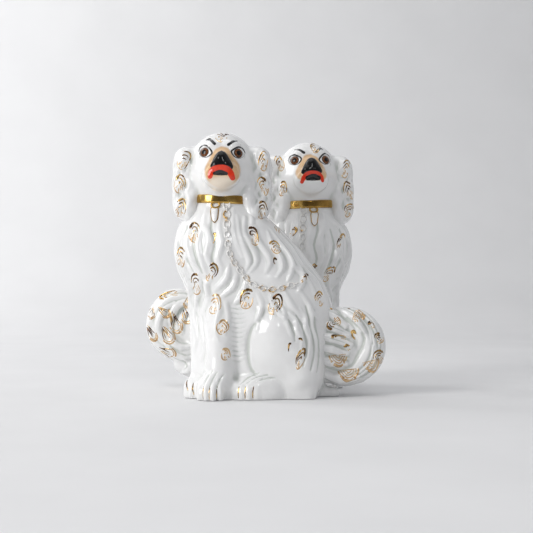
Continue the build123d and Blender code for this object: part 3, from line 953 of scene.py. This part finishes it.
def paint_head(piece, points, dog):
    """Paint the face, and cover the nose with black enamel where no lip crosses it."""
    muzzle, lip_share, mouth_widths = FACES[dog]
    seen = photo_place(points)
    black = inside_shape(seen, NOSE, 1.0)
    for line in BROWS:
        black = np.maximum(black, stroke_shape(seen, line, [0.8, 2.6, 3.2], 0.9))
    for line in EYE_LINES:
        black = np.maximum(black, stroke_shape(seen, line, [0.9, 1.7, 1.9, 0.6, 0.5], 0.7))
    lips = stroke_shape(seen, LIPS, LIP_WIDTHS * lip_share, 1.0)
    paints = {
        "tan": inside_shape(seen, muzzle, 1.6),
        "chin": inside_shape(seen, CHIN, 4.0) if dog == "front_dog" else -1,
        "black": black,
        "lips": lips,
        "mouth": stroke_shape(seen, MOUTH, mouth_widths, 1.0),
    }
    for name, values in paints.items():
        paint(piece, name, np.where(points[:, 1] < FACE_DEPTH, values, -1))
    corners = np.zeros(len(piece.data.loops), np.int32)
    piece.data.loops.foreach_get("vertex_index", corners)
    dark = np.where((points[:, 1] < NOSE_DEPTH) & (lips < -0.5), black, -1)
    nose = (dark[corners].reshape(-1, 4) > 0.3).all(1)
    piece.data.materials.append(black_enamel)
    piece.data.polygons.foreach_set("material_index", nose.astype(np.int32))


def glazed(dog, name, clay, skin, points, cover, *nodes):
    """A clay's skin as a piece with points of its own, and its hollows measured so the glaze darkens there,
    as pooled glaze and as painted shade.
    """
    piece = show(dog, name, points, skin[1], cover, "glazed_earthenware", *nodes)
    # How far each point curves in; the glaze material turns this into pooled glaze and painted shade.
    paint(piece, "hollow", hollows(clay, skin[0]))
    return piece


HEAD_NODES = ("face_half", "head_back_half", "left_ear", "right_ear")
BODY_NODES = ("body_front_half", "body_back_half", "near_foreleg", "far_foreleg")
head, body = head_clay.skin(), body_clay.skin()
for dog, tail_clay in tail_clays.items():
    piece = glazed(dog, "glazed_head", head_clay, head, held(head[0], dog), face_glaze, *HEAD_NODES)
    paint_head(piece, head[0], dog)
    glazed(dog, "glazed_body", body_clay, body, body[0], glaze, *BODY_NODES)
    tail = tail_clay.skin()
    glazed(dog, "glazed_tail", tail_clay, tail, tail[0] + TAIL_SHIFTS[dog], glaze, "tail")

# Collar, locket, chain and eyes


def join(parts):
    """One set of points and faces from several."""
    points, faces, start = [], [], 0
    for p, f in parts:
        points.append(p)
        faces.append(f + start)
        start += len(p)
    return np.vstack(points), np.vstack(faces)


def sweep(rings):
    """A closed skin over a row of rings, of which the first is joined to the last."""
    rows = np.asarray(rings)
    count, around = rows.shape[:2]
    i, j = np.meshgrid(np.arange(count), np.arange(around), indexing="ij")
    ahead, beside = (i + 1) % count, (j + 1) % around
    faces = np.stack([i * around + j, ahead * around + j, ahead * around + beside, i * around + beside], -1)
    return rows.reshape(-1, 3), faces.reshape(-1, 4)


def capped(rings, first, last):
    """A closed skin of triangles over a row of rings, with a middle point for each end."""
    count, around = rings.shape[:2]
    points = np.vstack([rings.reshape(-1, 3), first, last])
    end = np.full(around, count * around)
    j = np.arange(around)
    k = np.roll(j, -1)
    faces = [(k, j, end)]
    for a in range(0, (count - 1) * around, around):
        b = a + around
        faces += [(b + k, b + j, a + j), (a + k, b + k, a + j)]
    faces.append((j + (count - 1) * around, k + (count - 1) * around, end + 1))
    return points, np.vstack([np.stack(face, 1) for face in faces])


def wire(line, away, out, thick):
    """A round wire along a closed line."""
    bends = circle(8)[:, None]
    return sweep(line[:, None] + thick * (np.cos(bends) * away[:, None] + np.sin(bends) * out))


def link(middle, along, across, half_long, half_wide, thick):
    """An oval ring of round wire."""
    turns = circle(22)[:, None]
    line = middle + along * np.cos(turns) * half_long + across * np.sin(turns) * half_wide
    away = unit(along * np.cos(turns) / half_long + across * np.sin(turns) / half_wide)
    return wire(line, away, np.cross(along, across), thick)


CHAIN = [
    (226.5, 205), (227, 222), (227.4, 240), (231, 257), (240, 270), (250, 282), (262, 288), (278, 289),
    (297, 283.5),
]
LINK_PITCH = 4.9  # pixels
BIG_LINKS = 5  # links beside the locket that are larger


def chain_parts():
    """Oval links laid flat along the chest, with every second one on edge."""
    line = curve(CHAIN, 40)
    run = np.concatenate([[0], np.cumsum(np.linalg.norm(np.diff(line, axis=0), axis=1))])
    stops = np.arange(0, run[-1], LINK_PITCH)
    places = np.stack([np.interp(stops, run, line[:, i]) for i in (0, 1)], 1)
    spot, normal, _ = strike([(body_clay, STILL)], places)
    along = unit(np.gradient(spot, axis=0))
    normal = unit(normal - along * (normal * along).sum(1, keepdims=True))
    parts = []
    for index, (place, way, out) in enumerate(zip(spot, along, normal)):
        if index % 2:
            parts.append(link(place + out * 0.9, way, out, 3.5, 1.6, 0.6))
        else:
            long, wide, thick = np.array([4.3, 3.0, 0.74]) * (1.25 if index < BIG_LINKS else 1.0)
            parts.append(link(place + out * 0.7, way, np.cross(out, way), long, wide, thick))
    return join(parts)


LOCKET_TOP, LOCKET_HALF, LOCKET_LONG = (214.6, 207.6), 4.3, 15.0  # pixels
LOOP_PLACE = (215.6, 205.2)


def locket_parts():
    """A tapered white drop with a gilt border, on its gilt loop."""
    rows, columns = 19, 13
    count = rows * columns
    v, u = np.meshgrid(np.linspace(0, 1, rows), np.linspace(-1, 1, columns), indexing="ij")
    half = LOCKET_HALF * np.sqrt(np.clip(1 - (2 * np.abs(v - 0.45)) ** 5, 0.06, 1)) * (1 - 0.36 * v)
    places = np.stack([LOCKET_TOP[0] + u * half, LOCKET_TOP[1] + v * LOCKET_LONG], -1).reshape(-1, 2)
    spot, normals, _ = strike([(body_clay, STILL)], places)
    normal = unit(normals.mean(0))
    edge = np.minimum(1 - np.abs(u), np.minimum(v, 1 - v) * 2.4)
    dome = 2.3 * np.sqrt(np.clip(edge * 1.6, 0, 1)).reshape(-1, 1)
    points = np.vstack([spot + normal * dome, spot - normal * 0.9])
    grid = np.arange(count).reshape(rows, columns)
    top = np.stack([grid[:-1, :-1], grid[1:, :-1], grid[1:, 1:], grid[:-1, 1:]], -1).reshape(-1, 4)
    rim = np.concatenate([grid[0], grid[1:, -1], grid[-1, -2::-1], grid[-2:0:-1, 0]])
    beside = np.roll(rim, -1)
    side = np.stack([rim, beside, count + beside, count + rim], 1)
    drop = points, np.vstack([top, count + top[:, [0, 3, 2, 1]], side])
    line = spot[rim] + normal * 0.5
    along = unit(np.roll(line, -1, 0) - np.roll(line, 1, 0))
    border = wire(line, np.cross(along, normal), normal, 0.55)
    (place,), (out,), _ = strike([(body_clay, STILL)], [LOOP_PLACE])
    up = unit(np.array([0, 0, 1.0]) - out * out[2])
    return drop, join([border, link(place + out * 1.2, up, np.cross(out, up), 3.4, 5.0, 1.1)])


def collar_parts():
    """A band round the neck with a raised cord along both edges."""
    profile = [
        (34.0, 229.0), (35.6, 229.0), (36.3, 229.8), (36.5, 231.0), (36.4, 232.4), (36.6, 234.0),
        (36.4, 235.6), (36.5, 237.0), (36.3, 238.2), (35.6, 239.0), (34.0, 239.0), (33.6, 234.0),
    ]
    rings = []
    for turn in circle(120):
        c, s = math.cos(turn), math.sin(turn)
        rings.append([(NECK_X + r * c, -r * s, z - 1.3 * c) for r, z in profile])
    return sweep(rings)


def eye_parts(side):
    """A glass dome with its rim, and how far out each point is, from 0 in the middle to 1."""
    seat, out, across, up = eye_place(side)
    turns = circle(40)[:, None]
    rim = across * np.cos(turns) + up * np.sin(turns)
    share = np.minimum(np.arange(1, 15) / 12, 1.0)
    height = 3.2 * np.sqrt(1 - share**2 * 0.98)
    height[-2:] = 0.1, -2.4
    rings = seat + out * height[:, None, None] + 6.0 * share[:, None, None] * rim
    points, faces = capped(rings, seat + out * 3.2, seat - out * 2.4)
    return points, faces, np.append(np.repeat(share, len(rim)), (0.0, 1.0))


# Gilt marks: strokes of pixels, laid on the clay along the photograph's lines of sight

RUN = np.linspace(0, 1, 12)  # points along a stroke
EVEN = np.sqrt(np.clip(np.sin(np.pi * (0.10 + 0.84 * RUN)), 0.03, 1))
VARIETY = ((3.1, 1.3), (1.9, 4.7), (5.3, 2.1), (2.3, 3.7))  # makes each mark a little different
FADING = np.sqrt(np.clip(1.05 - RUN, 0.05, 1)) * np.clip(RUN * 9 + 0.4, 0, 1)


def set_down(lines, x, y, way, hand=1):
    """Strokes drawn along and across a mark, set at the mark's place in the photograph."""
    strokes = []
    for u, v, thick, pale in lines:
        u, v = turn_by(way, u, hand * v)
        strokes.append((np.stack([x + u, y + v], 1), thick, pale))
    return strokes


def feather(x, y, long, wide, turn):
    """A painted mark like a shell: strokes of pixels, each point's width, and whether the stroke is pale.

    A tall mark has a hooked dark cap, arcs nested in it and short pale strokes below.
    A broad mark is a half shell: a thick rim with arcs nested in it under a flat top.
    """
    chance = [0.5 + 0.5 * math.sin(x * a + y * b) for a, b in VARIETY]
    lines = []

    def arc(tall, half, middle, first, last, thick, pale):
        bend = np.radians(first + (last - first) * RUN)
        u = middle - tall * np.cos(bend) + 0.03 * np.sin(2.3 * bend + 6 * chance[3])
        v = half * np.sin(bend) + 0.05 * np.sin(2.7 * bend + 5 * chance[2])
        lines.append((long * u, wide * v, thick, pale))

    count = 0
    if wide > long:
        arc(0.92, 0.50, -0.42, 88, 272, 3.6 * EVEN, True)
        for tall, half, thick in ((0.66, 0.37, 1.7), (0.45, 0.25, 1.5), (0.24, 0.13, 1.4)):
            arc(tall, half, -0.42, 92, 268, thick * EVEN, True)
        lines.append((long * -0.44 + 0 * RUN, wide * (0.92 * RUN - 0.46), 1.2 * EVEN, True))
    else:
        arc(0.50, 0.46, 0.0, -30 - 45 * chance[2], 60 + 85 * chance[1], 3.3 * FADING, False)
        if wide >= 5:
            arc(0.32, 0.28, 0.02, -75 + 50 * chance[3], 60 + 70 * chance[2], 2.2 * FADING, False)
            count = round(wide / 2.1)
        if wide >= 8:
            arc(0.16, 0.14, 0.05, -70, 60 + 90 * chance[0], 1.7 * FADING, False)
            arc(0.50, 0.46, 0.0, 165 - 20 * chance[0], 225 + 60 * chance[3], 1.7 * EVEN, True)
    for index in range(count):
        across = ((index + 0.5) / count * 2 - 1) * 0.92
        wobble = math.sin(x * 1.7 + y * 2.3 + index * 4.1)
        if wobble < -0.75:
            continue
        low = 0.43 + 0.05 * math.sin(index * 2.6 + x)
        first = 0.10 + 0.12 * wobble
        u = long * (first + (low - 0.24 * across**2 + 0.05 * wobble - first) * RUN)
        v = wide * 0.44 * across * (0.62 + 0.38 * RUN)
        lines.append((u, v, (1.25 + 0.25 * wobble) * EVEN, True))
    way = math.radians(turn + 30 * chance[1] - 15)
    return set_down(lines, x, y, way, 1 if chance[0] > 0.5 else -1)


def fan(x, y, long, wide, turn):
    """A painted half shell: dark strokes that spread from a narrow top to a thick pale rim."""
    bow = np.pi * (0.05 + 0.90 * RUN)
    lines = []
    for scale, thick in ((1.0, 2.8), (0.74, 1.5)):
        u = long * (0.05 + 0.45 * scale * np.sin(bow))
        lines.append((u, wide / -2 * scale * np.cos(bow), thick * EVEN, True))
    count = max(3, round(wide / 2.5))
    for index in range(count):
        across = (index + 0.5) / count * 2 - 1
        wobble = math.sin(x * 1.7 + y * 2.3 + index * 4.1)
        u = long * (-0.5 + 0.14 * across**2 + 0.05 * wobble + (0.66 - 0.18 * across**2) * RUN)
        v = wide / 2 * (across * (0.34 + 0.62 * RUN) + 0.08 * np.sin(3 * RUN + 2 * wobble))
        lines.append((u, v, (1.45 + 0.3 * wobble) * EVEN, False))
    return set_down(lines, x, y, math.radians(turn))


FRONT_FEATHERS = [
    # x, y, length, width and the way that the strokes run, in the photograph
    (184, 160, 19, 12, 100), (179.8, 184, 18, 11, 100), (180.2, 208, 18, 12, 95), (263.4, 161, 19, 10, 85),
    (263.4, 186, 19, 10, 85), (262.4, 210, 17, 11, 90), (180.6, 258, 20, 10, 105), (213, 239, 11, 4, 95),
    (253.6, 236, 18, 10, 60), (278, 227, 14, 10, 75), (275.4, 247, 13, 10, 50), (276, 262, 8, 4, 60),
    (304.4, 279, 11, 6, 140), (219.6, 137.2, 10, 8, 60), (227, 136, 6, 5, 110), (194, 232.6, 20, 12, 105),
    (211.6, 272, 18, 11, 110), (195.6, 284, 20, 10, 90),
    # on the tail
    (334, 323, 14, 11, -35), (340, 337.5, 15, 5, -5), (348, 348, 7, 6, 45), (339, 360.2, 12, 17, 88),
    (348.4, 375, 12, 19, 95), (372, 366, 12, 15, 62), (379.6, 356.6, 13, 12, 75), (379, 338.5, 10, 9, 80),
    (372, 325, 9, 6, 60), (358.6, 316, 11, 12, 30), (349, 311, 6, 4, 60), (333.5, 310, 5, 4, 60),
    (354.6, 335.6, 10, 5, 50),
]
PALE_FEATHERS = [(215, 304, 19, 13, 95), (222.6, 327.4, 14, 12, 95), (225.8, 354.4, 11, 10, 80)]
LOW_FEATHERS = [
    (246.4, 299, 19, 14, 92), (275.4, 305, 21, 12, 105), (319.6, 298.6, 14, 9, 80), (289.8, 348.3, 9, 3, 80),
    (300.4, 359, 21, 8, 98), (300.6, 341, 5, 4, 80),
]
REAR_FEATHERS = [
    (278, 164, 16, 9, 90), (345, 169, 18, 10, 118), (347.6, 191, 18, 10, 70), (348, 211, 14, 10, 108),
    (313, 149, 10, 8, 75), (341, 242, 16, 7, 95), (329, 274, 17, 9, 120), (313, 269, 10, 6, 130),
    (293, 232, 10, 6, 110), (281, 190, 14, 8, 90), (170, 295, 22, 7, -20),
]
REAR_TAIL_FANS = [
    (151.3, 312.8, 12, 10, 110), (164, 311.7, 14, 10, 40), (187.6, 302, 12, 8, 100),
    (186.3, 316, 15, 11, 75), (175.2, 322.6, 22, 13, 72), (167.4, 335, 19, 13, 58),
    (151.4, 333.3, 17, 9, 60), (167.4, 352.2, 18, 11, 25),
]
TOE_LINES = [[(x + 0.6, 386.5), (x - 0.3, 393), (x, 400)] for x in (203.2, 209.4, 216.7, 238.5, 245.3, 253.0)]
TOE_LINES += [[(188, 377), (186.6, 384), (188, 391)], [(193.4, 383), (192.6, 389), (194, 395)]]
STROKE_SECTION = [(-1.0, -0.14), (-0.6, 0.12), (0.0, 0.22), (0.6, 0.12), (1.0, -0.14), (0.0, -0.7)]
STROKE_SCALE = 1.16  # millimetres per pixel of width
STEEP = -0.30  # strokes end where the surface's normal turns further from the viewer
GAP = 6.0  # or where two points are further apart
HEAD_LOW = 216.0  # marks above this are on the head


def ribbon(spot, normal, widths):
    """A thin raised stroke of gilding over the glaze."""
    side = unit(np.cross(normal, unit(np.gradient(spot, axis=0))))
    half = widths[:, None] / 2
    rings = np.stack([spot + side * half * a + normal * b for a, b in STROKE_SECTION], 1)
    return capped(rings, rings[0].mean(0), rings[-1].mean(0))


def gild(strokes, clays, rear):
    """Ribbons along strokes of pixels, cut where the surface drops away."""
    if not strokes:
        return []
    count = len(strokes[0][0])
    spot, normal, met = strike(clays, np.vstack([place for place, _ in strokes]), rear)
    spot, normal, met = spot.reshape(-1, count, 3), normal.reshape(-1, count, 3), met.reshape(-1, count)
    parts = []
    for (_, widths), s, n, m in zip(strokes, spot, normal, met):
        whole = m & (n[:, 1] < STEEP)
        apart = np.linalg.norm(np.diff(s, axis=0), axis=1) > GAP
        start = 0
        for i in range(1, count + 1):
            if i < count and whole[i] and whole[i - 1] and not apart[i - 1]:
                continue
            if i - start >= 4:
                parts.append(ribbon(s[start:i], n[start:i], widths[start:i] * STROKE_SCALE))
            start = i
    return parts


def strokes_of(marks, pale, draw=feather):
    return [(place, widths) for row in marks for place, widths, faint in draw(*row) if faint == pale]


def toe_strokes():
    strokes = []
    for line in TOE_LINES:
        place = curve(line, 4)
        swell = np.clip(np.sin(np.pi * np.linspace(0.1, 0.95, len(place))), 0.05, 1)
        strokes.append((place, 1.9 * np.sqrt(swell)))
    return strokes


def mark_parts(dog, pale):
    """A dog's dark or pale strokes. Low marks that hide behind the front dog repeat the front dog's."""
    rear = dog == "rear_dog"
    clays = [(head_clay, STILL), (body_clay, STILL), (tail_clays[dog], TAIL_SHIFTS[dog])]
    low = strokes_of(LOW_FEATHERS, pale)
    if pale:
        low += strokes_of(PALE_FEATHERS, False) + strokes_of(PALE_FEATHERS, True)
    parts = gild(low, clays, False)
    parts += gild(strokes_of(REAR_FEATHERS if rear else FRONT_FEATHERS, pale), clays, rear)
    if rear:
        parts += gild(strokes_of(REAR_TAIL_FANS, pale, fan), clays, rear)
    if not pale:
        parts += gild(toe_strokes(), clays, False)
    return join([(held(p, dog) if p[:, 2].min() > HEAD_LOW else p, faces) for p, faces in parts])


links, (drop, border), band = chain_parts(), locket_parts(), collar_parts()
for dog in DOGS:
    show(dog, "gilt_marks", *mark_parts(dog, False), gilding, "gilding")
    show(dog, "gilt_pale_marks", *mark_parts(dog, True), pale_gilding, "gilding")
    show(dog, "white_locket", *drop, locket_glaze, "glazed_earthenware")
    show(dog, "gilt_chain", *links, worn_gilding, "gilding", "chain")
    show(dog, "gilt_locket", *border, bright_gilding, "gilding", "locket")
    show(dog, "gilt_collar", *band, bright_gilding, "gilding", "collar")
    for side in (-1, 1):
        name = "left_eye" if (side < 0) == (dog == "front_dog") else "right_eye"
        points, faces, reach = eye_parts(side)
        eye = show(dog, f"glass_{name}", held(points, dog), faces, brown_glass, "eye_glass", name)
        paint(eye, "way_out", reach)

for name, node in frame["nodes"].items():
    node.data.materials.clear()
    node.data.materials.append(glaze if name.endswith("half") else bare_clay)

# Stage, in metres


def stage_sheet():
    """A floor that sweeps up into a backdrop behind the pair."""
    start, bend, wide = 1.1, 0.9, 4.0
    profile = [(-3.0, 0.0), (start, 0.0)]
    for step in range(1, 13):
        angle = math.radians(90 * step / 12)
        profile.append((start + bend * math.sin(angle), bend - bend * math.cos(angle)))
    profile.append((start + bend, 4.0))
    points = [(x, y, z) for y, z in profile for x in (-wide, wide)]
    faces = [(2 * i, 2 * i + 1, 2 * i + 3, 2 * i + 2) for i in range(len(profile) - 1)]
    mesh = bpy.data.meshes.new("backdrop")
    mesh.from_pydata(points, [], faces)
    mesh.polygons.foreach_set("use_smooth", np.ones(len(mesh.polygons), bool))
    m = material("backdrop_paper")
    m.feed("Base Color", m.ramp(m.noise(6.0), (0.3, (0.73, 0.73, 0.735)), (0.7, (0.76, 0.76, 0.765))))
    m.set(Roughness=0.9)
    mesh.materials.append(m.owner)
    sheet = bpy.data.objects.new("backdrop", mesh)
    bpy.context.scene.collection.objects.link(sheet)


def lamp(name, place, target, size, power, colour=(1, 1, 1)):
    light = bpy.data.lights.new(name, "AREA")
    light.shape = "RECTANGLE"
    light.size, light.size_y = size
    light.energy = power
    light.color = colour
    item = bpy.data.objects.new(name, light)
    item.location = place
    item.rotation_euler = (Vector(target) - Vector(place)).to_track_quat("-Z", "Y").to_euler()
    bpy.context.scene.collection.objects.link(item)


stage_sheet()
lamp("window", (-2.0, -1.6, 0.95), (0, 0, 0.12), (1.0, 1.6), 38.0, (1.0, 0.995, 0.985))
lamp("front", (0.5, -2.5, 1.5), (0, 0, 0.12), (0.35, 0.6), 6.0)
lamp("top", (-0.3, -0.2, 2.2), (0, 0.0, 0.0), (2.0, 2.0), 11.5)
lamp("paper_wash", (-1.7, 0.7, 1.5), (-0.7, 2.0, 0.85), (1.0, 1.4), 22.0)

sky = Nodes(bpy.data.worlds.new("studio"), "Background")
split = sky.add("ShaderNodeSeparateXYZ")
sky.link(sky.add("ShaderNodeTexCoord").outputs["Generated"], split.inputs["Vector"])
turn = sky.add("ShaderNodeMapRange", From_Min=-1.0)
sky.link(split.outputs["Y"], turn.inputs["Value"])
sky.feed("Color", sky.ramp(turn.outputs["Result"], (0.0, (0.15, 0.155, 0.165)), (0.8, (0.86, 0.865, 0.89))))
sky.set(Strength=0.88)
bpy.context.scene.world = sky.owner

camera = bpy.data.objects.new("camera", bpy.data.cameras.new("camera"))
camera.data.sensor_width = 36.0
camera.data.lens = 36.0 * FOCAL / PHOTO_SIZE
camera.location = (CAMERA + DOGS["front_dog"][1]) / 1000
camera.rotation_euler = (math.radians(90), 0, 0)
bpy.context.scene.collection.objects.link(camera)
bpy.context.scene.camera = camera
bpy.context.scene.view_settings.view_transform = "Standard"
